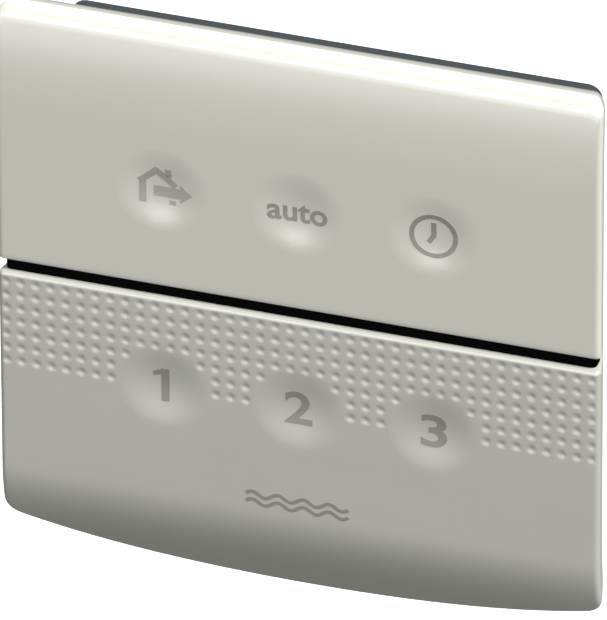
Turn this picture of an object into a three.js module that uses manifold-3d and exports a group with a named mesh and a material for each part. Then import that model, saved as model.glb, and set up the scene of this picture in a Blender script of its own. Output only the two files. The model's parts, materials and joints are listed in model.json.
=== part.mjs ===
// Wall-mounted wireless remote control of a ventilation unit.
// Millimetres. +X right seen from the front, +Y into the wall, +Z up.
// The origin is the middle of the wall plate's back face, so the wall is the plane y = 0.

import * as THREE from 'three';
import { mergeVertices } from 'three/addons/utils/BufferGeometryUtils.js';
import Module from 'manifold-3d';

const wasm = await Module();
wasm.setup();

// ---------------------------------------------------------------- driving dimensions

const WIDTH = 84;
const HEIGHT = 88;
const DEPTH = 18; // wall to front face
const GAP = 0.3; // free space between neighbouring pieces
const WALL = 1.8; // thickness of the covers

// Side profile of the covers. Depths are counted back from the front face.
const LEAN_START_Z = 27.6; // the front leans back above this height
const LEAN_RADIUS = 220;
const TOP_ROLL_START_Z = 42.4;
const TOP_ROLL_DEPTH = 3.4;
const TOP_BACK_Z = 36.6;
const ROLL_START_Z = -29.4; // the front rolls back below this height
const ROLL_RADIUS = 23;
const BOTTOM_BACK_Z = -38;
const COVER_BACK_DEPTH = 14.5;

// Front outline of the covers
const BOTTOM_ARCH_RADIUS = 140;
const TOP_CORNER_RADIUS = 1.8;
const BOTTOM_CORNER_RADIUS = 3;

// Plan outline of the covers: straight sides, then a taper towards the wall
const SIDE_EDGE = 0.8; // rounding between front and side
const SIDE_DEPTH = 2.8;
const SIDE_TAPER = 4;

// Gap between the two covers
const SLOT_LOW_Z = 2.1;
const SLOT_HIGH_Z = 4.0;
const LIP_THICKNESS = 1.5;
const LIP_DEPTH = 3.4;
const STRIP_INSET = 0.9;
const STRIP_THICKNESS = 1.5;
const LIGHT_WIDTH = 2; // status light on the board behind the strip
const LIGHT_HEIGHT = 1.2;
const LIGHT_THICKNESS = 1;

// Press zones
const BUTTON_SPACING = 18.9;
const LOWER_ROW_Z = -12.0;
const UPPER_ROW_Z = 19.2;
const BUTTON_RADIUS = 6.2;
const DISH_DEPTH = 0.35;
const STEM_RADIUS = 1.5;
const STEM_END_DEPTH = 3.6;

// Circuit board and switches
const BOARD_WIDTH = 66;
const BOARD_LOW_Z = -30;
const BOARD_HIGH_Z = 32;
const BOARD_FRONT_DEPTH = 7.2;
const BOARD_THICKNESS = 1.6;
const SWITCH_SIZE = 6;
const SWITCH_HEIGHT = 2.3;
const PLUNGER_RADIUS = 1.7;
const PLUNGER_LENGTH = 1.6;
const PLUNGER_POCKET = 1.7;
const SCREW_X = 29;
const SCREW_Z = [-25, 27];
const SCREW_RADIUS = 1.0;
const SCREW_HEAD_RADIUS = 2.2;
const SCREW_HEAD_HEIGHT = 1.2;
const SCREW_LENGTH = 5;
const RECESS_LENGTH = 2.6; // cross recess in a screw head
const RECESS_WIDTH = 0.6;
const BOARD_CORNER = 2;

// Rear housing
const HOUSING_HALF_WIDTH = 35.4;
const HOUSING_LOW_Z = -33;
const HOUSING_HIGH_Z = 34;
const HOUSING_FLOOR = 1.2;
const HOUSING_RIM_DEPTH = 9.6;
const HOUSING_RIM = 1.4;
const BOSS_RADIUS = 2.6;
const HOUSING_CORNER = 3;
const TAB_CLEARANCE = 0.5; // free space around a tab in its opening
const JOIN = 0.2; // how far two merged solids run into each other

// Wall plate
const PLATE_HALF_WIDTH = 36.9;
const PLATE_LOW_Z = -34;
const PLATE_HIGH_Z = 35.3;
const PLATE_THICKNESS = 2.2;
const PLATE_CORNER = 2;
const FIXING_X = 30; // screw slots, 60 mm apart
const FIXING_SLOT_LENGTH = 8;
const FIXING_SLOT_WIDTH = 4.2;
const TAB_X = 20;
const TAB_Z = [-28, 29];
const TAB_WIDTH = 8;
const TAB_HEIGHT = 1.4;
const TAB_REACH = 2.6; // how far a tab stands out of the plate

// Battery
const CELL_RADIUS = 10;
const CELL_THICKNESS = 3.2;
const CELL_Z = -10;
const HOLDER_WALL = 1.6;
const HOLDER_FLOOR = 0.8;
const CELL_PROUD = 0.8; // how far the cell stands out of its holder
const CONTACT_THICKNESS = 0.3;
const CONTACT_LEG = 0.5;
const CONTACT_WIDTH = 4;

const ROUND = 28; // sides of a large round piece
const FINE_ROUND = 24; // sides of a plunger, screw head or boss
const SHANK_ROUND = 20; // sides of a screw shank or hole
const ARC = 4; // half the steps of an outline's arc

// ---------------------------------------------------------------- materials

function finish(color, roughness, metalness = 0) {
  return new THREE.MeshStandardMaterial({ color, roughness, metalness });
}

const GLOSS_WHITE = finish(0xdedcd2, 0.15);
const SATIN_WHITE = finish(0xcfcfc7, 0.35);
const BLACK_GLOSS = finish(0x0b0c0d, 0.2);
const BLACK_PLASTIC = finish(0x1d1f20, 0.6);
const PLATE_GREY = finish(0x3c4244, 0.55);
const BOARD_GREEN = finish(0x1f5a34, 0.5);
const CHIP_BLACK = finish(0x151515, 0.5);
const STEEL = finish(0xb8babc, 0.3, 1);
const CREAM = finish(0xd9d2bd, 0.5);
const GOLD = finish(0xc8a24a, 0.35, 1);
const CLEAR_LED = finish(0xe8f0e0, 0.15);

// ---------------------------------------------------------------- shape helpers

const FROM_WALL = new THREE.Matrix4().makeRotationX(Math.PI / 2);
const ALONG_X = new THREE.Matrix4().makeBasis(
  new THREE.Vector3(0, 1, 0), new THREE.Vector3(0, 0, 1), new THREE.Vector3(1, 0, 0));

function solid(geometry) {
  const bare = geometry.index ? geometry.toNonIndexed() : geometry.clone();
  bare.deleteAttribute('normal');
  bare.deleteAttribute('uv');
  const merged = mergeVertices(bare, 1e-4);
  return new wasm.Manifold(new wasm.Mesh({
    numProp: 3,
    vertProperties: new Float32Array(merged.attributes.position.array),
    triVerts: new Uint32Array(merged.index.array),
  }));
}

function geometryOf(body) {
  const { vertProperties, triVerts } = body.getMesh();
  const geometry = new THREE.BufferGeometry();
  geometry.setAttribute('position', new THREE.BufferAttribute(vertProperties, 3));
  geometry.setIndex(new THREE.BufferAttribute(triVerts, 1));
  return geometry;
}

// Extrudes a front outline (x, z) between two depths behind the front face.
function plateBetween(outline, frontDepth, backDepth) {
  const thickness = backDepth - frontDepth;
  const geometry = new THREE.ExtrudeGeometry(outline,
    { depth: thickness, bevelEnabled: false, curveSegments: ARC });
  geometry.translate(0, 0, DEPTH - backDepth);
  return solid(geometry.applyMatrix4(FROM_WALL));
}

function rectangle(x0, x1, z0, z1, radius = 0) {
  const shape = new THREE.Shape();
  if (radius === 0) {
    return shape.moveTo(x0, z0).lineTo(x1, z0).lineTo(x1, z1).lineTo(x0, z1);
  }
  shape.absarc(x1 - radius, z0 + radius, radius, -Math.PI / 2, 0);
  shape.absarc(x1 - radius, z1 - radius, radius, 0, Math.PI / 2);
  shape.absarc(x0 + radius, z1 - radius, radius, Math.PI / 2, Math.PI);
  shape.absarc(x0 + radius, z0 + radius, radius, Math.PI, 1.5 * Math.PI);
  return shape;
}

function block(x0, x1, z0, z1, frontDepth, backDepth, radius = 0) {
  return plateBetween(rectangle(x0, x1, z0, z1, radius), frontDepth, backDepth);
}

function centredBlock(x, z, width, height, frontDepth, backDepth) {
  return block(x - width / 2, x + width / 2, z - height / 2, z + height / 2,
    frontDepth, backDepth);
}

// A round pin or hole that runs straight back from the front, between two depths.
function pin(x, z, radius, frontDepth, backDepth, sides = ROUND) {
  const geometry = new THREE.CylinderGeometry(radius, radius, backDepth - frontDepth, sides);
  geometry.translate(x, (frontDepth + backDepth) / 2 - DEPTH, z);
  return solid(geometry);
}

const group = new THREE.Group();

function add(name, shape, material) {
  const geometry = shape instanceof wasm.Manifold ? geometryOf(shape) : shape;
  const mesh = new THREE.Mesh(geometry, material);
  mesh.name = name;
  group.add(mesh);
  return mesh;
}

// ---------------------------------------------------------------- outlines of the covers

// An inset body cuts the covers' hollow, so it runs on past their open back.
function backDepth(inset) {
  return COVER_BACK_DEPTH + (inset > 0 ? 1 : 0);
}

function sideProfile(inset) {
  const y = (depth) => depth - DEPTH;
  const rollRadius = ROLL_RADIUS - inset;
  const leanRadius = LEAN_RADIUS - inset;
  const lowZ = -HEIGHT / 2 + inset;
  const highZ = HEIGHT / 2 - inset;
  const rollEnd = Math.PI + Math.asin((ROLL_START_Z - lowZ) / rollRadius);
  const leanEnd = Math.PI - Math.asin((TOP_ROLL_START_Z - inset - LEAN_START_Z) / leanRadius);
  const back = backDepth(inset);
  const shape = new THREE.Shape();
  shape.moveTo(y(back), TOP_BACK_Z - inset);
  shape.lineTo(y(back), BOTTOM_BACK_Z + inset);
  shape.absarc(y(ROLL_RADIUS), ROLL_START_Z, rollRadius, rollEnd, Math.PI, true);
  shape.absarc(y(LEAN_RADIUS), LEAN_START_Z, leanRadius, Math.PI, leanEnd, true);
  shape.quadraticCurveTo(y(inset + 1), highZ, y(inset + TOP_ROLL_DEPTH), highZ);
  return shape;
}

function frontOutline(inset) {
  const side = WIDTH / 2 - inset;
  const top = HEIGHT / 2 - inset;
  const archRadius = BOTTOM_ARCH_RADIUS - inset;
  const archZ = BOTTOM_ARCH_RADIUS - HEIGHT / 2;
  const topCorner = Math.max(TOP_CORNER_RADIUS - inset, 0.3);
  const bottomCorner = Math.max(BOTTOM_CORNER_RADIUS - inset, 0.5);
  // The corner circle touches the side and the arch from inside.
  const cornerX = side - bottomCorner;
  const reach = archRadius - bottomCorner;
  const cornerZ = archZ - Math.sqrt(reach * reach - cornerX * cornerX);
  const tilt = Math.asin(cornerX / reach);
  const down = -Math.PI / 2;
  const shape = new THREE.Shape();
  shape.absarc(0, archZ, archRadius, down - tilt, down + tilt);
  shape.absarc(cornerX, cornerZ, bottomCorner, down + tilt, 0);
  shape.absarc(side - topCorner, top - topCorner, topCorner, 0, Math.PI / 2);
  shape.absarc(topCorner - side, top - topCorner, topCorner, Math.PI / 2, Math.PI);
  shape.absarc(-cornerX, cornerZ, bottomCorner, Math.PI, 1.5 * Math.PI - tilt);
  return shape;
}

function planOutline(inset) {
  const side = WIDTH / 2 - inset;
  const back = side - SIDE_TAPER;
  const edge = Math.max(SIDE_EDGE - inset, 0.1);
  const front = inset - DEPTH;
  const rear = backDepth(inset) - DEPTH;
  const taperStart = Math.max(SIDE_DEPTH - DEPTH, front + edge + 0.2);
  const shape = new THREE.Shape();
  shape.moveTo(-back, rear);
  shape.lineTo(-side, taperStart);
  shape.lineTo(-side, front + edge);
  shape.quadraticCurveTo(-side, front, edge - side, front);
  shape.lineTo(side - edge, front);
  shape.quadraticCurveTo(side, front, side, front + edge);
  shape.lineTo(side, taperStart);
  shape.lineTo(back, rear);
  return shape;
}

// The full body of both covers, shrunk evenly by inset.
function coverBody(inset) {
  const options = (depth) => ({ depth, bevelEnabled: false, curveSegments: ARC });
  const side = new THREE.ExtrudeGeometry(sideProfile(inset), options(WIDTH + 2));
  side.translate(0, 0, -WIDTH / 2 - 1).applyMatrix4(ALONG_X);
  const plan = new THREE.ExtrudeGeometry(planOutline(inset), options(HEIGHT + 2));
  plan.translate(0, 0, -HEIGHT / 2 - 1);
  const front = plateBetween(frontOutline(inset), -1, DEPTH);
  return solid(side).intersect(solid(plan)).intersect(front);
}

function slab(lowZ, highZ) {
  return block(-WIDTH, WIDTH, lowZ, highZ, -2, DEPTH + 1);
}

// ---------------------------------------------------------------- press zones

const BUTTONS = [
  { name: 'away', x: -BUTTON_SPACING, z: UPPER_ROW_Z },
  { name: 'auto', x: 0, z: UPPER_ROW_Z },
  { name: 'timer', x: BUTTON_SPACING, z: UPPER_ROW_Z },
  { name: 'low', x: -BUTTON_SPACING, z: LOWER_ROW_Z },
  { name: 'medium', x: 0, z: LOWER_ROW_Z },
  { name: 'high', x: BUTTON_SPACING, z: LOWER_ROW_Z },
];

// A round pad with a dished front, thinned to an even wall, and a stem behind it.
function buttonGeometry() {
  const steps = 6;
  const dish = (radius) => DISH_DEPTH * (1 - (radius / BUTTON_RADIUS) ** 2) ** 2;
  const profile = [];
  for (let i = 0; i <= steps; i += 1) {
    const radius = (BUTTON_RADIUS * i) / steps;
    profile.push(new THREE.Vector2(radius, dish(radius) - DEPTH));
  }
  profile.push(new THREE.Vector2(BUTTON_RADIUS, WALL - DEPTH));
  profile.push(new THREE.Vector2(STEM_RADIUS, WALL - DEPTH));
  profile.push(new THREE.Vector2(STEM_RADIUS, STEM_END_DEPTH - DEPTH));
  profile.push(new THREE.Vector2(0, STEM_END_DEPTH - DEPTH));
  return new THREE.LatheGeometry(profile, ROUND);
}

function buttonHoles(row) {
  return BUTTONS.filter((button) => button.z === row)
    .map((button) => pin(button.x, button.z, BUTTON_RADIUS + GAP, -1, WALL + 1));
}

// ---------------------------------------------------------------- covers

// A cover is a shell with a shallow lip along the slot between the two covers.
function cover(lowZ, highZ, hollowLowZ, hollowHighZ, row) {
  const hollow = coverBody(WALL);
  const beyondLip = hollow.intersect(slab(hollowLowZ, hollowHighZ));
  const behindLip = hollow.intersect(block(-WIDTH, WIDTH, -HEIGHT, HEIGHT, LIP_DEPTH, DEPTH + 1));
  let shell = coverBody(0).intersect(slab(lowZ, highZ)).subtract(beyondLip).subtract(behindLip);
  for (const hole of buttonHoles(row)) {
    shell = shell.subtract(hole);
  }
  return shell;
}

add('upper_cover', cover(SLOT_HIGH_Z, HEIGHT, SLOT_HIGH_Z + LIP_THICKNESS, HEIGHT, UPPER_ROW_Z),
  GLOSS_WHITE);
add('lower_cover', cover(-HEIGHT, SLOT_LOW_Z, -HEIGHT, SLOT_LOW_Z - LIP_THICKNESS, LOWER_ROW_Z),
  SATIN_WHITE);

const stripRing = coverBody(STRIP_INSET).subtract(coverBody(STRIP_INSET + STRIP_THICKNESS));
add('centre_strip', stripRing.intersect(
  block(-WIDTH, WIDTH, SLOT_LOW_Z + GAP, SLOT_HIGH_Z - GAP, 0, BOARD_FRONT_DEPTH)), BLACK_GLOSS);

// ---------------------------------------------------------------- buttons and switches

const BOARD_BACK_DEPTH = BOARD_FRONT_DEPTH + BOARD_THICKNESS;
const SWITCH_BACK = BOARD_FRONT_DEPTH - GAP;
const SWITCH_FRONT = SWITCH_BACK - SWITCH_HEIGHT;
const PLUNGER_FRONT = STEM_END_DEPTH + GAP;

for (const { name, x, z } of BUTTONS) {
  const material = z === UPPER_ROW_Z ? GLOSS_WHITE : SATIN_WHITE;
  add(`button_${name}`, buttonGeometry(), material).position.set(x, 0, z);

  const pocket = pin(x, z, PLUNGER_RADIUS + GAP,
    SWITCH_FRONT - 1, SWITCH_FRONT + PLUNGER_POCKET, FINE_ROUND);
  const body = centredBlock(x, z, SWITCH_SIZE, SWITCH_SIZE, SWITCH_FRONT, SWITCH_BACK);
  add(`switch_${name}`, body.subtract(pocket), CHIP_BLACK);
  add(`plunger_${name}`,
    pin(x, z, PLUNGER_RADIUS, PLUNGER_FRONT, PLUNGER_FRONT + PLUNGER_LENGTH, FINE_ROUND), CREAM);
}

// ---------------------------------------------------------------- circuit board

const SCREW_PLACES = SCREW_Z.flatMap((z) => [[-SCREW_X, z], [SCREW_X, z]]);
const SCREW_HOLE_RADIUS = SCREW_RADIUS + GAP;

let board = block(-BOARD_WIDTH / 2, BOARD_WIDTH / 2, BOARD_LOW_Z, BOARD_HIGH_Z,
  BOARD_FRONT_DEPTH, BOARD_BACK_DEPTH, BOARD_CORNER);
for (const [x, z] of SCREW_PLACES) {
  board = board.subtract(pin(x, z, SCREW_HOLE_RADIUS, 0, DEPTH, SHANK_ROUND));
}
add('circuit_board', board, BOARD_GREEN);

SCREW_PLACES.forEach(([x, z], index) => {
  const head = pin(x, z, SCREW_HEAD_RADIUS, SWITCH_BACK - SCREW_HEAD_HEIGHT, SWITCH_BACK, FINE_ROUND);
  const shank = pin(x, z, SCREW_RADIUS, SWITCH_BACK - JOIN, SWITCH_BACK + SCREW_LENGTH, SHANK_ROUND);
  const recessBack = SWITCH_BACK - SCREW_HEAD_HEIGHT / 2;
  const across = centredBlock(x, z, RECESS_LENGTH, RECESS_WIDTH, 0, recessBack);
  const upright = centredBlock(x, z, RECESS_WIDTH, RECESS_LENGTH, 0, recessBack);
  add(`board_screw_${index + 1}`, head.add(shank).subtract(across).subtract(upright), STEEL);
});

// Parts on the back of the board: name, centre x, centre z, width, height, thickness
const BACK_PARTS = [
  ['microcontroller', -20, 14, 7, 7, 1.2, CHIP_BLACK],
  ['radio_module', 17, 16, 14, 17, 2.2, STEEL],
  ['antenna', 29, 2, 1.6, 24, 1.0, GOLD],
  ['crystal', -20, 22, 4.5, 2, 1.1, STEEL],
  ['capacitor_1', -27, 6, 1.6, 3.2, 1.4, CREAM],
  ['capacitor_2', -24, 6, 1.6, 3.2, 1.4, CREAM],
];
const BACK_FACE = BOARD_BACK_DEPTH + GAP;

for (const [name, x, z, width, height, thickness, material] of BACK_PARTS) {
  add(name, centredBlock(x, z, width, height, BACK_FACE, BACK_FACE + thickness), material);
}

const STRIP_Z = (SLOT_LOW_Z + SLOT_HIGH_Z) / 2;
add('status_light', centredBlock(0, STRIP_Z, LIGHT_WIDTH, LIGHT_HEIGHT,
  SWITCH_BACK - LIGHT_THICKNESS, SWITCH_BACK), CLEAR_LED);

// ---------------------------------------------------------------- battery

const cellFront = BACK_FACE + HOLDER_FLOOR + GAP;
const cellBack = cellFront + CELL_THICKNESS;
const holderInner = CELL_RADIUS + GAP;
const holderOuter = holderInner + HOLDER_WALL;
const holderBack = cellBack - CELL_PROUD;
const contactFront = cellBack + GAP;
const contactInner = holderOuter + GAP;
const contactOuter = contactInner + CONTACT_LEG;

add('battery_holder', pin(0, CELL_Z, holderOuter, BACK_FACE, holderBack)
  .subtract(pin(0, CELL_Z, holderInner, BACK_FACE + HOLDER_FLOOR, holderBack + 1)), CHIP_BLACK);
add('coin_cell', pin(0, CELL_Z, CELL_RADIUS, cellFront, cellBack), STEEL);
const contactBack = contactFront + CONTACT_THICKNESS;
add('battery_contact',
  centredBlock(0, CELL_Z, 2 * contactOuter, CONTACT_WIDTH, BACK_FACE, contactBack)
    .subtract(centredBlock(0, CELL_Z, 2 * contactInner, CONTACT_WIDTH + 2,
      BACK_FACE - 1, contactFront)), GOLD);

// ---------------------------------------------------------------- rear housing

const PLATE_FRONT_DEPTH = DEPTH - PLATE_THICKNESS;
const HOUSING_BACK = PLATE_FRONT_DEPTH - GAP;
const HOUSING_INSIDE = HOUSING_BACK - HOUSING_FLOOR;
const TABS = TAB_Z.flatMap((z) => [[-TAB_X, z], [TAB_X, z]]);

function housingBlock(inset, frontDepth, backDepthOfBlock) {
  const side = HOUSING_HALF_WIDTH - inset;
  return block(-side, side, HOUSING_LOW_Z + inset, HOUSING_HIGH_Z - inset,
    frontDepth, backDepthOfBlock, HOUSING_CORNER - inset);
}

let housing = housingBlock(0, HOUSING_RIM_DEPTH, HOUSING_BACK)
  .subtract(housingBlock(HOUSING_RIM, 0, HOUSING_INSIDE));
for (const [x, z] of SCREW_PLACES) {
  housing = housing.add(pin(x, z, BOSS_RADIUS, BACK_FACE, HOUSING_INSIDE + JOIN, FINE_ROUND));
  housing = housing.subtract(
    pin(x, z, SCREW_HOLE_RADIUS, 0, SWITCH_BACK + SCREW_LENGTH + GAP, SHANK_ROUND));
}
for (const [x, z] of TABS) {
  housing = housing.subtract(
    centredBlock(x, z, TAB_WIDTH + 2 * TAB_CLEARANCE, TAB_HEIGHT + 2 * TAB_CLEARANCE,
      HOUSING_INSIDE - 1, DEPTH));
}
add('rear_housing', housing, BLACK_PLASTIC);

// ---------------------------------------------------------------- wall plate

let plate = block(-PLATE_HALF_WIDTH, PLATE_HALF_WIDTH, PLATE_LOW_Z, PLATE_HIGH_Z,
  PLATE_FRONT_DEPTH, DEPTH, PLATE_CORNER);
for (const x of [-FIXING_X, FIXING_X]) {
  const halfWidth = FIXING_SLOT_WIDTH / 2;
  const halfLength = FIXING_SLOT_LENGTH / 2;
  plate = plate.subtract(
    block(x - halfWidth, x + halfWidth, -halfLength, halfLength, 0, DEPTH + 1, halfWidth - 0.05));
}
for (const [x, z] of TABS) {
  plate = plate.add(centredBlock(x, z, TAB_WIDTH, TAB_HEIGHT,
    PLATE_FRONT_DEPTH - TAB_REACH, PLATE_FRONT_DEPTH + JOIN));
}
add('wall_plate', plate, PLATE_GREY);

export default group;
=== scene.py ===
import json
import math

import bmesh
import bpy
import numpy as np
from mathutils import Matrix, Vector


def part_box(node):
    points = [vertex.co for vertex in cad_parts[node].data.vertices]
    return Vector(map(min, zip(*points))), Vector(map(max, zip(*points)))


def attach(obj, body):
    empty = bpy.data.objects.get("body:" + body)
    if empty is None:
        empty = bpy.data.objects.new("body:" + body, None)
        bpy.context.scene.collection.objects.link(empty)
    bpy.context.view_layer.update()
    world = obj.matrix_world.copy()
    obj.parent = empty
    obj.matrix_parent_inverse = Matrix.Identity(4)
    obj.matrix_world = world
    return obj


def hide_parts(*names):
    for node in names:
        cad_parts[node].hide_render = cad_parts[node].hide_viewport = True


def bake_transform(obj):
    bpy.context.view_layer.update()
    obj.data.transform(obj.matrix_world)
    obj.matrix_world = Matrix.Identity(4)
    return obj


# Wall-mounted remote control of a ventilation unit.
# Shapes are worked out in millimetres and turned into metres when a mesh is made.
# "Depth" is the distance behind the front plane, and "h" is the distance from the
# slot between the two covers towards a cover's far edge.

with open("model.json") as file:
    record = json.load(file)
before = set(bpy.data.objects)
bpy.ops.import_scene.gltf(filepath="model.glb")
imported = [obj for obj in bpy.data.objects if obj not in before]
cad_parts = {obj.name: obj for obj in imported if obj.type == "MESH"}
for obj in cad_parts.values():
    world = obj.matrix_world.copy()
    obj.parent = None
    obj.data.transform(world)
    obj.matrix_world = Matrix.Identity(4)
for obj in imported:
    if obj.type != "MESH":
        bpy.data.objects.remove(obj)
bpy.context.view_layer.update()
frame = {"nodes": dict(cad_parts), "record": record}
MM = 0.001


def box_mm(node):
    low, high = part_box(node)
    return [c / MM for c in low], [c / MM for c in high]


# ------------------------------------------------------------------ sizes from the frame

UPPER_LOW, UPPER_HIGH = box_mm("upper_cover")
LOWER_LOW, LOWER_HIGH = box_mm("lower_cover")
FRONT_Y = UPPER_LOW[1]
HALF_WIDTH = UPPER_HIGH[0]
TOP_Z = UPPER_HIGH[2]
BOTTOM_Z = LOWER_LOW[2]
SLOT_LOW_Z = LOWER_HIGH[2]
SLOT_HIGH_Z = UPPER_LOW[2]
BACK_DEPTH = UPPER_HIGH[1] - FRONT_Y
WALL = 1.8
ROW_PAST_ROUNDING = 6  # a grid row clear of the rounding along the slot

FRONT_SETBACK = 0.03  # room for the signs in front of the covers
LEAN_START_Z = 27.6
LEAN_RADIUS = 220.0
ROLL_START_Z = -29.4
ROLL_RADIUS = 23.0

DIMPLE_PITCH = 2.1
DIMPLE_COLUMNS = 40
DIMPLE_ROWS = 7
DIMPLE_FIRST_Z = 0.6
DIMPLE_RADIUS = 0.78
DIMPLE_DEPTH = 0.11
DIMPLE_CLEARANCE = 6.0

DISH_RADIUS = 6.6
DISH_DEPTH = 0.35
PATCH_HALF_WIDTH = 3 * DIMPLE_PITCH
UPPER_PATCH_HALF_HEIGHT = 6.3
LOWER_PATCH_HALF_HEIGHT = 3.5 * DIMPLE_PITCH

BUTTONS = {}  # middle of each press zone, as (x, z)
for button in ("away", "auto", "timer", "low", "medium", "high"):
    low, high = box_mm("button_" + button)
    BUTTONS[button] = ((low[0] + high[0]) / 2, (low[2] + high[2]) / 2)


# ------------------------------------------------------------------ the front surface

def base_depth(z):
    """Depth of the front without dishes or dimples."""
    lean = np.maximum(z - LEAN_START_Z, 0)
    roll = np.clip(ROLL_START_Z - z, 0, ROLL_RADIUS - 1)
    return (FRONT_SETBACK + LEAN_RADIUS - np.sqrt(LEAN_RADIUS ** 2 - lean ** 2)
            + ROLL_RADIUS - np.sqrt(ROLL_RADIUS ** 2 - roll ** 2))


def hollow(distance, radius, depth):
    """A smooth round hollow that meets the flat front without an edge."""
    inside = np.clip(1 - (distance / radius) ** 2, 0, 1)
    return depth * inside ** 2


def dish_depth(x, z):
    depth = np.zeros_like(x)
    for centre_x, centre_z in BUTTONS.values():
        depth = depth + hollow(np.hypot(x - centre_x, z - centre_z), DISH_RADIUS, DISH_DEPTH)
    return depth


def dimple_depth(x, z):
    middle = (DIMPLE_COLUMNS - 1) / 2
    column = np.clip(np.round(x / DIMPLE_PITCH + middle), 0, DIMPLE_COLUMNS - 1)
    row = np.clip(np.round((DIMPLE_FIRST_Z - z) / DIMPLE_PITCH), 0, DIMPLE_ROWS - 1)
    centre_x = (column - middle) * DIMPLE_PITCH
    centre_z = DIMPLE_FIRST_Z - row * DIMPLE_PITCH
    depth = hollow(np.hypot(x - centre_x, z - centre_z), DIMPLE_RADIUS, DIMPLE_DEPTH)
    for button_x, button_z in BUTTONS.values():
        depth = depth * (np.hypot(centre_x - button_x, centre_z - button_z) > DIMPLE_CLEARANCE)
    return depth


# ------------------------------------------------------------------ mesh helpers

def make_object(name, points_mm, faces, smooth_angle=30):
    mesh = bpy.data.meshes.new(name)
    mesh.from_pydata((np.asarray(points_mm) * MM).tolist(), [], faces)
    mesh.validate()
    shell = bmesh.new()
    shell.from_mesh(mesh)
    bmesh.ops.recalc_face_normals(shell, faces=shell.faces)
    shell.to_mesh(mesh)
    shell.free()
    mesh.update()
    piece = bpy.data.objects.new(name, mesh)
    bpy.context.scene.collection.objects.link(piece)
    shade(piece, smooth_angle)
    return piece


def shade(piece, smooth_angle):
    piece.data.shade_smooth()
    piece.data.set_sharp_from_angle(angle=math.radians(smooth_angle))


def spread(breaks, pitches):
    """Positions through the breaks, evenly spaced in between, at most a pitch apart."""
    places = [breaks[0]]
    for start, end, pitch in zip(breaks, breaks[1:], pitches):
        steps = max(1, math.ceil((end - start) / pitch - 1e-6))
        places += [start + (end - start) * k / steps for k in range(1, steps + 1)]
    return places


# ------------------------------------------------------------------ covers

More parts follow.
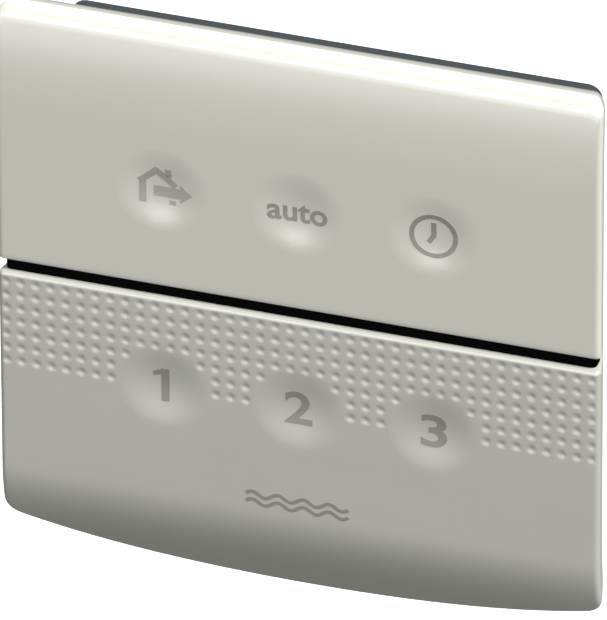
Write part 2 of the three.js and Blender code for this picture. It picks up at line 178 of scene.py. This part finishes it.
class Cover:
    """One cover's outer and inner skin. sign is +1 for the upper cover and -1 for the lower."""

    SIDE_INSET = 0.8
    SIDE_TAPER = 4.0
    EDGE_STEPS = 6
    BACK_STEPS = 8
    CORNER_STEPS = 7
    TAPER_POWER = 1.15
    CUT_STEPS = 4
    SLOPE_STEP = 0.05

    def __init__(self, sign, cut_z, far_h, arch, corner, far_inset, far_edge, back_h,
                 cut_round, columns, rows, row_pitches, coarse_pitch, dimples):
        self.sign = sign
        self.cut_z = cut_z
        self.far_h = far_h
        self.arch = arch
        self.far_edge = far_edge
        self.back_h = back_h
        self.cut_round = cut_round
        self.dimples = dimples
        side = HALF_WIDTH - self.SIDE_INSET
        inner_corner = self.corner_of(side, far_inset, max(corner - self.SIDE_INSET, 0.5))
        outer_corner = self.corner_of(HALF_WIDTH, 0, corner)
        self.front_inset = far_inset
        self.u = np.array(columns) / side
        straight_end = rows[-1]
        round_rows = [cut_round * (1 - math.cos(math.pi / 2 * k / self.CUT_STEPS))
                      for k in range(self.CUT_STEPS)]
        heights = round_rows + spread([cut_round] + rows, row_pitches)
        self.rows = [{"h": h, "f": None, "width": side, "outer": (HALF_WIDTH, h), "angle": 0.0}
                     for h in heights]
        corner_x, corner_h, corner_r, end_angle = inner_corner
        outer_x, outer_h, outer_r, outer_end = outer_corner
        reach = corner_h - straight_end
        steps = math.ceil(reach / row_pitches[-1])
        for k in range(1, steps + 1):
            h = straight_end + reach * k / steps
            outer_height = straight_end + (outer_h - straight_end) * k / steps
            self.rows.append({"h": straight_end, "f": self.share(h, side, straight_end),
                              "width": side, "outer": (HALF_WIDTH, outer_height), "angle": 0.0})
        for k in range(1, self.CORNER_STEPS + 1):
            angle = end_angle * k / self.CORNER_STEPS
            x = corner_x + corner_r * math.cos(angle)
            h = corner_h + corner_r * math.sin(angle)
            outer_angle = outer_end * k / self.CORNER_STEPS
            outer = (outer_x + outer_r * math.cos(outer_angle),
                     outer_h + outer_r * math.sin(outer_angle))
            self.rows.append({"h": straight_end, "f": self.share(h, x, straight_end),
                              "width": x, "outer": outer, "angle": angle})
        self.outer_end = self.rows[-1]["outer"][0]
        self.front = self.front_grid()
        self.coarse_columns = self.coarse(np.array(columns), coarse_pitch)
        self.coarse_rows = self.coarse(self.front[0, :, 1], coarse_pitch)

    def corner_of(self, side, inset, radius):
        """Centre, radius and end angle of a corner that touches the side and the far arch."""
        reach = self.arch - inset - radius
        x = side - radius
        h = self.far_h - self.arch + math.sqrt(reach ** 2 - x ** 2)
        return x, h, radius, math.pi / 2 - math.asin(x / reach)

    def far_line(self, x, inset):
        return self.far_h - self.arch + np.sqrt((self.arch - inset) ** 2 - x ** 2)

    def share(self, h, x, straight_end):
        return (h - straight_end) / (self.far_line(x, self.front_inset) - straight_end)

    def shrink(self, h):
        """How far the skin draws in at the rounded edge along the slot."""
        near = np.clip(self.cut_round - h, 0, self.cut_round)
        return self.cut_round - np.sqrt(self.cut_round ** 2 - near ** 2)

    def z(self, h):
        return self.cut_z + self.sign * h

    def depth(self, x, h, detail=True):
        depth = base_depth(self.z(h)) + self.shrink(h)
        if detail:
            depth = depth + dish_depth(x, self.z(h))
            if self.dimples:
                depth = depth + dimple_depth(x, self.z(h))
        return depth

    def front_grid(self):
        """x, h and depth of each point of the front, indexed by column and row."""
        grid = np.zeros((len(self.u), len(self.rows), 3))
        for j, row in enumerate(self.rows):
            x = self.u * (row["width"] - self.shrink(row["h"]))
            h = np.full_like(x, row["h"])
            if row["f"] is not None:
                h = row["h"] + row["f"] * (self.far_line(x, self.front_inset) - row["h"])
            grid[:, j] = np.stack([x, h, self.depth(x, h)], axis=1)
        return grid

    def coarse(self, values, pitch):
        """Indices of the few columns or rows that the inner skin keeps."""
        keep = {0, len(values) - 1}
        steps = int(round((values[-1] - values[0]) / pitch))
        targets = [values[0] + (values[-1] - values[0]) * k / steps for k in range(1, steps)]
        keep.update(int(np.argmin(np.abs(values - t))) for t in targets)
        return sorted(keep)

    def keep_lines(self, columns, rows):
        self.coarse_columns = sorted(set(self.coarse_columns) | set(columns))
        self.coarse_rows = sorted(set(self.coarse_rows) | set(rows))

    def patch_range(self, centre, half_width, half_height):
        """First and last column and row of a button's part of the front."""
        x, z = centre
        h = (z - self.cut_z) * self.sign
        columns = self.front[:, ROW_PAST_ROUNDING, 0]
        rows = self.front[0, :, 1]
        nearest = lambda values, value: int(np.argmin(np.abs(values - value)))
        return (nearest(columns, x - half_width), nearest(columns, x + half_width),
                nearest(rows, h - half_height), nearest(rows, h + half_height))

    def place(self, x, h, depth):
        return np.stack([x, depth + FRONT_Y, self.z(h)], axis=-1)

    def inner_front(self, i, j):
        x, h, _ = self.front[i, j]
        x_in = x * (1 - WALL / HALF_WIDTH)
        h_in = h * (1 - WALL / self.far_h)
        depth = base_depth(self.z(np.array(h_in))) + WALL
        return self.place(np.array(x_in), np.array(h_in), depth)

    def path(self):
        """Columns and rows of the front's edge: up one side, along the far edge, and back."""
        last_column = len(self.u) - 1
        last_row = len(self.rows) - 1
        left = [(0, j) for j in range(last_row)]
        far = [(i, last_row) for i in range(last_column + 1)]
        right = [(last_column, j) for j in range(last_row - 1, -1, -1)]
        return left + far + right

    def rim_rings(self):
        """Rings from the front's edge round to the back edge, and the outward directions."""
        points = self.path()
        last_row = len(self.rows) - 1
        edge = np.array([self.front[i, j] for i, j in points])
        outer = np.zeros((len(points), 2))
        normal = np.zeros((len(points), 2))
        for k, (i, j) in enumerate(points):
            if j < last_row:
                row = self.rows[j]
                side = -1 if i == 0 else 1
                x, h = row["outer"]
                outer[k] = side * (x - self.shrink(row["h"])), h
                normal[k] = side * math.cos(row["angle"]), math.sin(row["angle"])
            else:
                x = self.u[i] * self.outer_end
                outer[k] = x, self.far_line(x, 0)
                normal[k] = x / self.arch, math.sqrt(1 - (x / self.arch) ** 2)
        far_share = normal[:, 1] ** 2
        drop = self.SIDE_INSET + (self.far_edge - self.SIDE_INSET) * far_share
        beyond = base_depth(self.z(edge[:, 1] + self.SLOPE_STEP))
        slope = (beyond - base_depth(self.z(edge[:, 1]))) / self.SLOPE_STEP
        lead = slope * normal[:, 1] * np.hypot(*(outer - edge[:, :2]).T)
        plain = self.depth(edge[:, 0], edge[:, 1], detail=False)
        rings = [edge]
        for k in range(1, self.EDGE_STEPS + 1):
            t = k / self.EDGE_STEPS
            flat = edge[:, :2] + (outer - edge[:, :2]) * (2 * t - t * t)
            depth = plain + 2 * t * (1 - t) * lead + t * t * drop
            rings.append(np.column_stack([flat, depth]))
        far = self.far_line(outer[:, 0], 0)
        back = np.column_stack([outer[:, 0] * (1 - self.SIDE_TAPER / HALF_WIDTH),
                                np.minimum(outer[:, 1] / far, 1) * self.back_h])
        start = rings[-1][:, 2]
        for k in range(1, self.BACK_STEPS + 1):
            t = k / self.BACK_STEPS
            flat = outer + (back - outer) * t ** self.TAPER_POWER
            rings.append(np.column_stack([flat, start + (BACK_DEPTH - start) * t]))
        return points, rings, back, normal

    def build(self, name, holes):
        points = []
        faces = []
        columns, rows = self.front.shape[:2]
        fine = np.arange(columns * rows).reshape(columns, rows)
        points.append(self.place(*np.moveaxis(self.front.reshape(-1, 3), -1, 0)))
        count = columns * rows
        path, rings, back, normal = self.rim_rings()
        ring_ids = [np.array([fine[i, j] for i, j in path])]
        for ring in rings[1:]:
            points.append(self.place(*ring.T))
            ring_ids.append(count + np.arange(len(path)))
            count += len(path)
        inner = {}
        for i in self.coarse_columns:
            for j in self.coarse_rows:
                points.append(self.inner_front(i, j)[None])
                inner[i, j] = count
                count += 1
        coarse_path = [k for k, (i, j) in enumerate(path) if (i, j) in inner]
        inner_back = {}
        for k in coarse_path:
            flat = back[k] - WALL * normal[k]
            points.append(self.place(flat[0], max(flat[1], 0), np.array(BACK_DEPTH))[None])
            inner_back[k] = count
            count += 1

        def in_hole(i, j):
            return any(a <= i < b and c <= j < d for a, b, c, d in holes)

        for i in range(columns - 1):
            for j in range(rows - 1):
                if not in_hole(i, j):
                    faces.append((fine[i, j], fine[i + 1, j], fine[i + 1, j + 1], fine[i, j + 1]))
        for first, second in zip(ring_ids, ring_ids[1:]):
            for k in range(len(path) - 1):
                faces.append((first[k], first[k + 1], second[k + 1], second[k]))
        for i0, i1 in zip(self.coarse_columns, self.coarse_columns[1:]):
            for j0, j1 in zip(self.coarse_rows, self.coarse_rows[1:]):
                if not in_hole(i0, j0):
                    faces.append((inner[i0, j0], inner[i0, j1], inner[i1, j1], inner[i1, j0]))
            faces.append([fine[i, 0] for i in range(i0, i1 + 1)] + [inner[i1, 0], inner[i0, 0]])
        for a, b, c, d in holes:
            faces += self.hole_walls(fine, inner, a, b, c, d)
        for k0, k1 in zip(coarse_path, coarse_path[1:]):
            faces.append((inner[path[k0]], inner[path[k1]], inner_back[k1], inner_back[k0]))
            faces.append([ring_ids[-1][k] for k in range(k0, k1 + 1)]
                         + [inner_back[k1], inner_back[k0]])
        for k in (0, len(path) - 1):
            faces.append([ring[k] for ring in ring_ids] + [inner_back[k], inner[path[k]]])
        faces = [tuple(int(v) for v in face) for face in faces]
        return make_object(name, np.concatenate(points), faces)

    def hole_walls(self, fine, inner, a, b, c, d):
        """Walls between the outer and the inner skin round a rectangle of the grid."""
        faces = []
        columns = [i for i in self.coarse_columns if a <= i <= b]
        rows = [j for j in self.coarse_rows if c <= j <= d]
        for i0, i1 in zip(columns, columns[1:]):
            for j in (c, d):
                faces.append([fine[i, j] for i in range(i0, i1 + 1)]
                             + [inner[i1, j], inner[i0, j]])
        for j0, j1 in zip(rows, rows[1:]):
            for i in (a, b):
                faces.append([fine[i, j] for j in range(j0, j1 + 1)]
                             + [inner[i, j1], inner[i, j0]])
        return faces

    def build_patch(self, name, a, b, c, d):
        """The part of the front that flexes when a button is pressed."""
        part = self.front[a:b + 1, c:d + 1]
        columns, rows = part.shape[:2]
        points = [self.place(*np.moveaxis(part.reshape(-1, 3), -1, 0))]
        fine = {(a + i, c + j): i * rows + j for i in range(columns) for j in range(rows)}
        count = columns * rows
        faces = [(fine[i, j], fine[i + 1, j], fine[i + 1, j + 1], fine[i, j + 1])
                 for i in range(a, b) for j in range(c, d)]
        inner = {}
        inner_columns = [i for i in self.coarse_columns if a <= i <= b]
        inner_rows = [j for j in self.coarse_rows if c <= j <= d]
        for i in inner_columns:
            for j in inner_rows:
                points.append(self.inner_front(i, j)[None])
                inner[i, j] = count
                count += 1
        for i0, i1 in zip(inner_columns, inner_columns[1:]):
            for j0, j1 in zip(inner_rows, inner_rows[1:]):
                faces.append((inner[i0, j0], inner[i0, j1], inner[i1, j1], inner[i1, j0]))
        faces += [tuple(face) for face in self.hole_walls(fine, inner, a, b, c, d)]
        return make_object(name, np.concatenate(points), faces)


def grid_columns(pitch):
    side = HALF_WIDTH - Cover.SIDE_INSET
    count = int((side - 0.05) / pitch)
    return [-side] + [k * pitch for k in range(-count, count + 1)] + [side]


def make_upper():
    patch_low = BUTTONS["auto"][1] - UPPER_PATCH_HALF_HEIGHT - SLOT_HIGH_Z
    patch_high = patch_low + 2 * UPPER_PATCH_HALF_HEIGHT
    return Cover(sign=1, cut_z=SLOT_HIGH_Z, far_h=TOP_Z - SLOT_HIGH_Z, arch=1e6, corner=1.8,
                 far_inset=2.2, far_edge=2.4, back_h=32.6, cut_round=0.35,
                 columns=grid_columns(0.35), rows=[patch_low, patch_high, 36.0],
                 row_pitches=[0.7, 0.35, 0.7], coarse_pitch=6.0, dimples=False)


def make_lower():
    band = DIMPLE_ROWS * DIMPLE_PITCH
    band_end = SLOT_LOW_Z - DIMPLE_FIRST_Z - DIMPLE_PITCH / 2 + band
    patch_low = SLOT_LOW_Z - BUTTONS["medium"][1] - LOWER_PATCH_HALF_HEIGHT
    patch_high = patch_low + 2 * LOWER_PATCH_HALF_HEIGHT
    return Cover(sign=-1, cut_z=SLOT_LOW_Z, far_h=SLOT_LOW_Z - BOTTOM_Z, arch=140.0,
                 corner=3.0, far_inset=0.8, far_edge=1.5, back_h=40.1, cut_round=0.6,
                 columns=grid_columns(DIMPLE_PITCH / 10),
                 rows=[patch_low, band_end, patch_high, 26.0],
                 row_pitches=[0.21, 0.21, 0.35, 0.7], coarse_pitch=6.0, dimples=True)


def build_cover(cover, node, names, half_height):
    """The cover with its flexing parts cut out, and the flexing parts as pieces of their own."""
    ranges = {name: cover.patch_range(BUTTONS[name], PATCH_HALF_WIDTH, half_height)
              for name in names}
    for a, b, c, d in ranges.values():
        cover.keep_lines([a, b], [c, d])
    shell = cover.build(node + "_shell", list(ranges.values()))
    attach(shell, "front_unit")
    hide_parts(node)
    patches = {}
    for name, (a, b, c, d) in ranges.items():
        patch = cover.build_patch("flex_" + name, a, b, c, d)
        flex(patch)
        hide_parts("button_" + name)
        patches[name] = patch
    return shell, patches


def flex(piece):
    """Bakes the piece's placing into its mesh."""
    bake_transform(piece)


# ------------------------------------------------------------------ signs

SIGN_RISE = 0.02  # height of a sign's face over the cover
SIGN_ROOT = 0.12  # depth of a sign's back inside the cover
SIGN_CUT = 0.35  # width of the strips a sign is cut into, so that it follows the dish
MARK_PLACE = (-0.2, -27.6)
CURVE_STEPS = 48


def sign_depth(x, z):
    return base_depth(z) + dish_depth(x, z)


def make_sign(name, polygons, centre, button=None):
    """Flat polygons (x, z) from a centre, laid on the dished surface as a thin inlay."""
    flat = bmesh.new()
    for polygon in polygons:
        flat.faces.new([flat.verts.new((centre[0] + x, 0, centre[1] + z)) for x, z in polygon])
    bmesh.ops.remove_doubles(flat, verts=flat.verts, dist=1e-3)
    for axis, direction in ((0, (1, 0, 0)), (2, (0, 0, 1))):
        low = min(v.co[axis] for v in flat.verts)
        high = max(v.co[axis] for v in flat.verts)
        for k in range(1, int((high - low) / SIGN_CUT) + 1):
            point = Vector((0, 0, 0))
            point[axis] = low + k * SIGN_CUT
            bmesh.ops.bisect_plane(flat, geom=flat.verts[:] + flat.edges[:] + flat.faces[:],
                                   plane_co=point, plane_no=direction)
    top = flat.faces[:]
    extruded = bmesh.ops.extrude_face_region(flat, geom=top, use_keep_orig=True)
    roots = {v for v in extruded["geom"] if isinstance(v, bmesh.types.BMVert)}
    for vertex in flat.verts:
        x, _, z = vertex.co
        lift = SIGN_ROOT if vertex in roots else -SIGN_RISE
        depth = float(sign_depth(np.array(x), np.array(z))) + lift
        vertex.co = Vector((x, FRONT_Y + depth, z)) * MM
    bmesh.ops.recalc_face_normals(flat, faces=flat.faces)
    mesh = bpy.data.meshes.new(name)
    flat.to_mesh(mesh)
    flat.free()
    piece = bpy.data.objects.new(name, mesh)
    bpy.context.scene.collection.objects.link(piece)
    shade(piece, 30)
    if button:
        flex(piece)
    else:
        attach(piece, "front_unit")
    return piece


def ribbon(points, width, closed=False):
    """Quads along a line, with mitred corners."""
    count = len(points)
    left = []
    right = []
    for k in range(count):
        before = points[k - 1] if closed or k > 0 else None
        after = points[(k + 1) % count] if closed or k < count - 1 else None
        here = np.array(points[k])
        normals = []
        for start, end in ((before, here), (here, after)):
            if start is not None and end is not None:
                along = np.array(end) - np.array(start)
                along = along / np.linalg.norm(along)
                normals.append(np.array((-along[1], along[0])))
        mitre = sum(normals) / len(normals)
        mitre = mitre / mitre.dot(mitre)
        left.append(tuple(here + mitre * width / 2))
        right.append(tuple(here - mitre * width / 2))
    spans = range(count if closed else count - 1)
    return [(left[k], left[(k + 1) % count], right[(k + 1) % count], right[k]) for k in spans]


def circle(radius):
    angles = [2 * math.pi * k / CURVE_STEPS for k in range(CURVE_STEPS)]
    return [(radius * math.cos(angle), radius * math.sin(angle)) for angle in angles]


def lettering(text, width, height, weight):
    """The text's faces as polygons, centred, with a given overall size."""
    curve = bpy.data.curves.new("lettering", "FONT")
    curve.body = text
    curve.offset = weight
    curve.resolution_u = 6
    source = bpy.data.objects.new("lettering", curve)
    bpy.context.scene.collection.objects.link(source)
    mesh = source.to_mesh()
    points = np.array([v.co[:2] for v in mesh.vertices])
    low, high = points.min(axis=0), points.max(axis=0)
    points = (points - (low + high) / 2) / (high - low) * np.array([width, height])
    polygons = [[tuple(points[v]) for v in p.vertices] for p in mesh.polygons]
    source.to_mesh_clear()
    bpy.data.objects.remove(source)
    bpy.data.curves.remove(curve)
    return polygons


def house_polygons():
    """A house whose right wall is open, with a broad arrow leaving through it."""
    wall = ribbon([(-2.65, -2.2), (-2.65, 1.15)], 1.0)
    roof = ribbon([(-3.1, 1.0), (-0.75, 3.1), (2.0, 0.85)], 0.95)
    chimney = ribbon([(0.95, 2.2), (0.95, 3.45)], 0.9)
    sill = ribbon([(1.05, -1.75), (2.0, -1.75)], 0.7)
    shaft = ribbon([(-1.15, -0.2), (2.6, -0.2)], 1.6)
    head = [[(2.6, 1.25), (4.3, -0.2), (2.6, -1.65)]]
    return [wall, roof, chimney, sill, shaft, head]


def one_polygons():
    """A plain figure one: an upright and a slanting flag."""
    upright = [(-0.35, -2.6), (0.8, -2.6), (0.8, 2.6), (-0.35, 2.6), (-0.35, 2.5), (-0.35, 1.65)]
    flag = [(-0.35, 1.65), (-0.35, 2.5), (-1.55, 1.95), (-1.35, 1.25)]
    return [upright, flag]


def clock_polygons():
    """A ring with two hands."""
    ring = ribbon(circle(3.05), 0.68, closed=True)
    hands = ribbon([(0.0, 2.1), (0.0, 0.0), (-0.75, -1.15)], 0.72)
    return [ring, hands]


def airflow_polygons():
    """Two level wavy lines, a plain mark for moving air."""
    length = 14.4
    waves = 4
    swing = 0.42
    offset = 0.62
    width = 0.55
    lines = []
    for middle in (-offset, offset):
        wave = [(-length / 2 + length * k / CURVE_STEPS,
                 middle + swing * math.sin(2 * math.pi * waves * k / CURVE_STEPS))
                for k in range(CURVE_STEPS + 1)]
        lines.append(ribbon(wave, width))
    return lines


def make_signs():
    """A sign in the middle of each press zone, and the airflow mark below them."""
    shapes = {
        "low": one_polygons(),
        "medium": lettering("2", width=3.9, height=5.2, weight=0.02),
        "high": lettering("3", width=3.7, height=5.2, weight=0.02),
        "auto": lettering("auto", width=8.4, height=2.9, weight=0.022),
    }
    pieces = [make_sign("sign_" + button, shape, BUTTONS[button], button)
              for button, shape in shapes.items()]
    for k, polygons in enumerate(house_polygons()):
        pieces.append(make_sign(f"sign_away_{k + 1}", polygons, BUTTONS["away"], "away"))
    for k, polygons in enumerate(clock_polygons()):
        pieces.append(make_sign(f"sign_timer_{k + 1}", polygons, BUTTONS["timer"], "timer"))
    for k, polygons in enumerate(airflow_polygons()):
        pieces.append(make_sign(f"airflow_mark_{k + 1}", polygons, MARK_PLACE))
    return pieces


# ------------------------------------------------------------------ strip and stems

def make_strip():
    """The black channel between the covers, from side to side and back along both sides. Its coat
    adds painted shade to its own black.
    """
    inset = 0.8
    thickness = 1.5
    clearance = 0.02
    taper_start = 2.8
    corner_radius = 0.8
    corner_steps = 6
    back = BACK_DEPTH - 0.5

    def outline(offset):
        """x and depth along the channel, from one back end round to the other."""
        side = HALF_WIDTH - offset
        slope = Cover.SIDE_TAPER / (BACK_DEPTH - taper_start)
        points = [(-side + slope * (back - taper_start), back), (-side, taper_start)]
        for k in range(corner_steps + 1):
            angle = math.pi / 2 * k / corner_steps
            points.append((-side + corner_radius * (1 - math.cos(angle)),
                           offset + corner_radius * (1 - math.sin(angle))))
        return points + [(-x, depth) for x, depth in reversed(points)]

    outer = outline(inset)
    inner = outline(inset + thickness)
    count = len(outer)
    levels = (SLOT_LOW_Z + clearance, SLOT_HIGH_Z - clearance)
    points = [(x, FRONT_Y + depth, z) for z in levels for x, depth in outer + inner]
    faces = []
    up = 2 * count
    for a in range(count - 1):
        b = a + 1
        c = count + a
        d = count + b
        faces += [(a, b, b + up, a + up), (c, d, d + up, c + up),
                  (a, b, d, c), (a + up, b + up, d + up, c + up)]
    for k in (0, count - 1):
        faces.append((k, k + count, k + count + up, k + up))
    strip = make_object("slot_strip", points, faces)
    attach(strip, "front_unit")
    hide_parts("centre_strip")
    return strip


def turned(name, profile, x, z, steps=32):
    """A round piece about a line straight into the wall. profile is (radius, depth)."""
    points = []
    faces = []
    for radius, depth in profile:
        for k in range(steps):
            angle = 2 * math.pi * k / steps
            points.append((x + radius * math.cos(angle), FRONT_Y + depth,
                           z + radius * math.sin(angle)))
    for ring in range(len(profile) - 1):
        for k in range(steps):
            a = ring * steps + k
            b = ring * steps + (k + 1) % steps
            faces.append((a, b, b + steps, a + steps))
    last = (len(profile) - 1) * steps
    faces += [tuple(range(steps)), tuple(range(last, last + steps))]
    return make_object(name, points, faces)


def make_stem(name):
    """The post behind a dish that pushes the switch, with a flared root and a rounded end."""
    x, z = BUTTONS[name]
    end = box_mm("button_" + name)[1][1] - FRONT_Y
    profile = [(2.6, WALL + 0.02), (2.2, WALL + 0.25), (1.6, WALL + 0.6), (1.5, WALL + 0.9),
               (1.5, end - 0.25), (1.4, end - 0.08), (1.2, end)]
    stem = turned("stem_" + name, profile, x, z)
    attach(stem, "press_" + name)
    return stem


# ------------------------------------------------------------------ materials

def plastic(name, colour, roughness, mottle=0.04, roughness_swing=0.05, grain_mm=0.25,
            bump=0.02, metallic=0.0, specular=0.5):
    """Moulded or metal finish: faint colour clouds, uneven gloss and a fine surface grain."""
    cloud_mm = 18.0
    gloss_mm = 4.0
    grain_height = 0.05 * MM
    material = bpy.data.materials.new(name)
    material.use_nodes = True
    nodes, links = material.node_tree.nodes, material.node_tree.links
    shader = nodes["Principled BSDF"]
    shader.inputs["Metallic"].default_value = metallic
    shader.inputs["Specular IOR Level"].default_value = specular
    place = nodes.new("ShaderNodeTexCoord")

    def noise(scale_mm, detail):
        node = nodes.new("ShaderNodeTexNoise")
        node.inputs["Scale"].default_value = 1 / (scale_mm * MM)
        node.inputs["Detail"].default_value = detail
        links.new(place.outputs["Object"], node.inputs["Vector"])
        return node

    clouds = noise(cloud_mm, 3.0)
    ramp = nodes.new("ShaderNodeValToRGB")
    dark = [c * (1 - mottle) for c in colour]
    light = [min(1, c * (1 + mottle)) for c in colour]
    ramp.color_ramp.elements[0].color = (*dark, 1)
    ramp.color_ramp.elements[1].color = (*light, 1)
    links.new(clouds.outputs["Fac"], ramp.inputs["Fac"])
    links.new(ramp.outputs["Color"], shader.inputs["Base Color"])
    gloss = noise(gloss_mm, 4.0)
    swing = nodes.new("ShaderNodeMapRange")
    swing.inputs["To Min"].default_value = max(0.02, roughness - roughness_swing)
    swing.inputs["To Max"].default_value = roughness + roughness_swing
    links.new(gloss.outputs["Fac"], swing.inputs["Value"])
    links.new(swing.outputs["Result"], shader.inputs["Roughness"])
    grain = noise(grain_mm, 2.0)
    relief = nodes.new("ShaderNodeBump")
    relief.inputs["Strength"].default_value = bump
    relief.inputs["Distance"].default_value = grain_height
    links.new(grain.outputs["Fac"], relief.inputs["Height"])
    links.new(relief.outputs["Normal"], shader.inputs["Normal"])
    return material


def coat_with(piece, material):
    """Gives the piece this one material."""
    piece.data.materials.clear()
    piece.data.materials.append(material)


def dress_nodes():
    """Materials for the pieces that come from the frame as they are."""
    finishes = {
        "black_plastic": plastic("housing_black", (0.018, 0.019, 0.021), 0.55, bump=0.25),
        "plate_grey": plastic("plate_grey", (0.030, 0.037, 0.040), 0.45, bump=0.2),
        "board_green": plastic("board_green", (0.012, 0.10, 0.035), 0.35, mottle=0.15),
        "chip_black": plastic("chip_black", (0.012, 0.012, 0.013), 0.45, bump=0.3),
        "screw_steel": plastic("screw_steel", (0.62, 0.62, 0.60), 0.28, metallic=1.0),
        "can_steel": plastic("can_steel", (0.66, 0.66, 0.65), 0.32, metallic=1.0),
        "cell_steel": plastic("cell_steel", (0.70, 0.70, 0.68), 0.22, metallic=1.0),
        "contact_gold": plastic("contact_gold", (0.80, 0.60, 0.28), 0.25, metallic=1.0),
        "switch_cream": plastic("switch_cream", (0.62, 0.56, 0.44), 0.4),
        "led_clear": plastic("led_clear", (0.75, 0.80, 0.70), 0.12),
    }
    slots = {part["node"]: part["material_slot"] for part in frame["record"]["subparts"]}
    for node, piece in frame["nodes"].items():
        if slots[node] in finishes:
            coat_with(piece, finishes[slots[node]])


# ------------------------------------------------------------------ light, floor and camera

def direction(azimuth, elevation):
    """Unit vector away from the object. Azimuth 0 is in front, and positive is to the right."""
    a = math.radians(azimuth)
    e = math.radians(elevation)
    return Vector((math.sin(a) * math.cos(e), -math.cos(a) * math.cos(e), math.sin(e)))


def sun_light(name, energy, azimuth, elevation, spread_angle):
    """Even light from far away, with a soft edge of the given angle."""
    light = bpy.data.lights.new(name, "SUN")
    light.energy = energy
    light.angle = math.radians(spread_angle)
    lamp = bpy.data.objects.new(name, light)
    lamp.rotation_euler = direction(azimuth, elevation).to_track_quat("Z", "Y").to_euler()
    bpy.context.scene.collection.objects.link(lamp)


def softbox(name, radiance, size, azimuth, elevation, distance):
    """A lit panel that shows in glossy surfaces but adds no even light of its own."""
    way = direction(azimuth, elevation)
    light = bpy.data.lights.new(name, "AREA")
    light.shape = "RECTANGLE"
    light.size = size[0]
    light.size_y = size[1]
    light.energy = math.pi * size[0] * size[1] * radiance
    lamp = bpy.data.objects.new(name, light)
    lamp.location = way * distance
    lamp.rotation_euler = way.to_track_quat("Z", "Y").to_euler()
    lamp.visible_diffuse = False
    bpy.context.scene.collection.objects.link(lamp)


def light_studio():
    """A pale surround that is brighter above, a high main light and glossy softboxes."""
    world = bpy.data.worlds.new("studio")
    bpy.context.scene.world = world
    world.use_nodes = True
    nodes, links = world.node_tree.nodes, world.node_tree.links
    way = nodes.new("ShaderNodeTexCoord")
    split = nodes.new("ShaderNodeSeparateXYZ")
    ramp = nodes.new("ShaderNodeMapRange")
    ramp.inputs["From Min"].default_value = -0.6
    ramp.inputs["From Max"].default_value = 0.8
    ramp.inputs["To Min"].default_value = 0.25
    ramp.inputs["To Max"].default_value = 0.62
    links.new(way.outputs["Generated"], split.inputs["Vector"])
    links.new(split.outputs["Z"], ramp.inputs["Value"])
    links.new(ramp.outputs["Result"], nodes["Background"].inputs["Strength"])
    nodes["Background"].inputs["Color"].default_value = (1, 1, 1, 1)
    sun_light("main", energy=4.5, azimuth=66, elevation=54, spread_angle=16)
    softbox("lean_softbox", radiance=5.2, size=(0.90, 0.28), azimuth=-17, elevation=-13.5,
            distance=0.75)
    softbox("band_softbox", radiance=8.0, size=(1.40, 0.50), azimuth=10, elevation=16,
            distance=0.75)


def make_floor():
    """A plain pale floor well below the unit."""
    half = 4.0
    level = BOTTOM_Z * MM - 0.35
    mesh = bpy.data.meshes.new("floor")
    mesh.from_pydata([(-half, -half, level), (half, -half, level), (half, half, level),
                      (-half, half, level)], [], [(0, 1, 2, 3)])
    floor = bpy.data.objects.new("floor", mesh)
    bpy.context.scene.collection.objects.link(floor)
    coat_with(floor, plastic("floor_white", (0.92, 0.92, 0.92), 0.8, mottle=0.005))
    floor.visible_diffuse = False
    floor.visible_glossy = False
    return floor


def place_camera():
    """A long lens, above the unit and to its right."""
    distance = 2.5
    roll = math.radians(-0.29)
    target = Vector((0.85 * MM, FRONT_Y * MM, 4.1 * MM))
    way = direction(17.59, 33.77)
    data = bpy.data.cameras.new("camera")
    data.sensor_width = 36.0
    data.lens = 1091.0
    data.clip_end = 20.0
    camera = bpy.data.objects.new("camera", data)
    turn = way.to_track_quat("Z", "Y").to_matrix().to_4x4() @ Matrix.Rotation(roll, 4, "Z")
    camera.matrix_world = Matrix.Translation(target + way * distance) @ turn
    bpy.context.scene.collection.objects.link(camera)
    bpy.context.scene.camera = camera


# ------------------------------------------------------------------ the object

def build():
    place_camera()
    light_studio()
    make_floor()
    bpy.context.scene.view_settings.view_transform = "Standard"
    gloss_white = plastic("gloss_white", (0.665, 0.66, 0.59), 0.13, mottle=0.012,
                          roughness_swing=0.01, bump=0.01)
    satin_white = plastic("satin_white", (0.47, 0.47, 0.422), 0.34, mottle=0.015,
                          roughness_swing=0.03, bump=0.03)
    # Slot strip: its own black plastic with painted shade on top. The colour is near zero and its
    # reflection is almost off, so the slot reads as deep shade.
    black_gloss = plastic("black_gloss", (0.001, 0.001, 0.001), 0.5, specular=0.01)
    print_grey = plastic("print_grey", (0.21, 0.205, 0.18), 0.4, mottle=0.05)
    pale_print = plastic("pale_print", (0.31, 0.305, 0.27), 0.4, mottle=0.05)
    upper, upper_patches = build_cover(make_upper(), "upper_cover", ("away", "auto", "timer"),
                                       UPPER_PATCH_HALF_HEIGHT)
    lower, lower_patches = build_cover(make_lower(), "lower_cover", ("low", "medium", "high"),
                                       LOWER_PATCH_HALF_HEIGHT)
    for piece in (upper, *upper_patches.values()):
        coat_with(piece, gloss_white)
    for piece in (lower, *lower_patches.values()):
        coat_with(piece, satin_white)
    coat_with(make_strip(), black_gloss)
    for name in BUTTONS:
        coat_with(make_stem(name), satin_white)
    for sign in make_signs():
        coat_with(sign, pale_print if sign.name.startswith("sign_away") else print_grey)
    dress_nodes()


build()
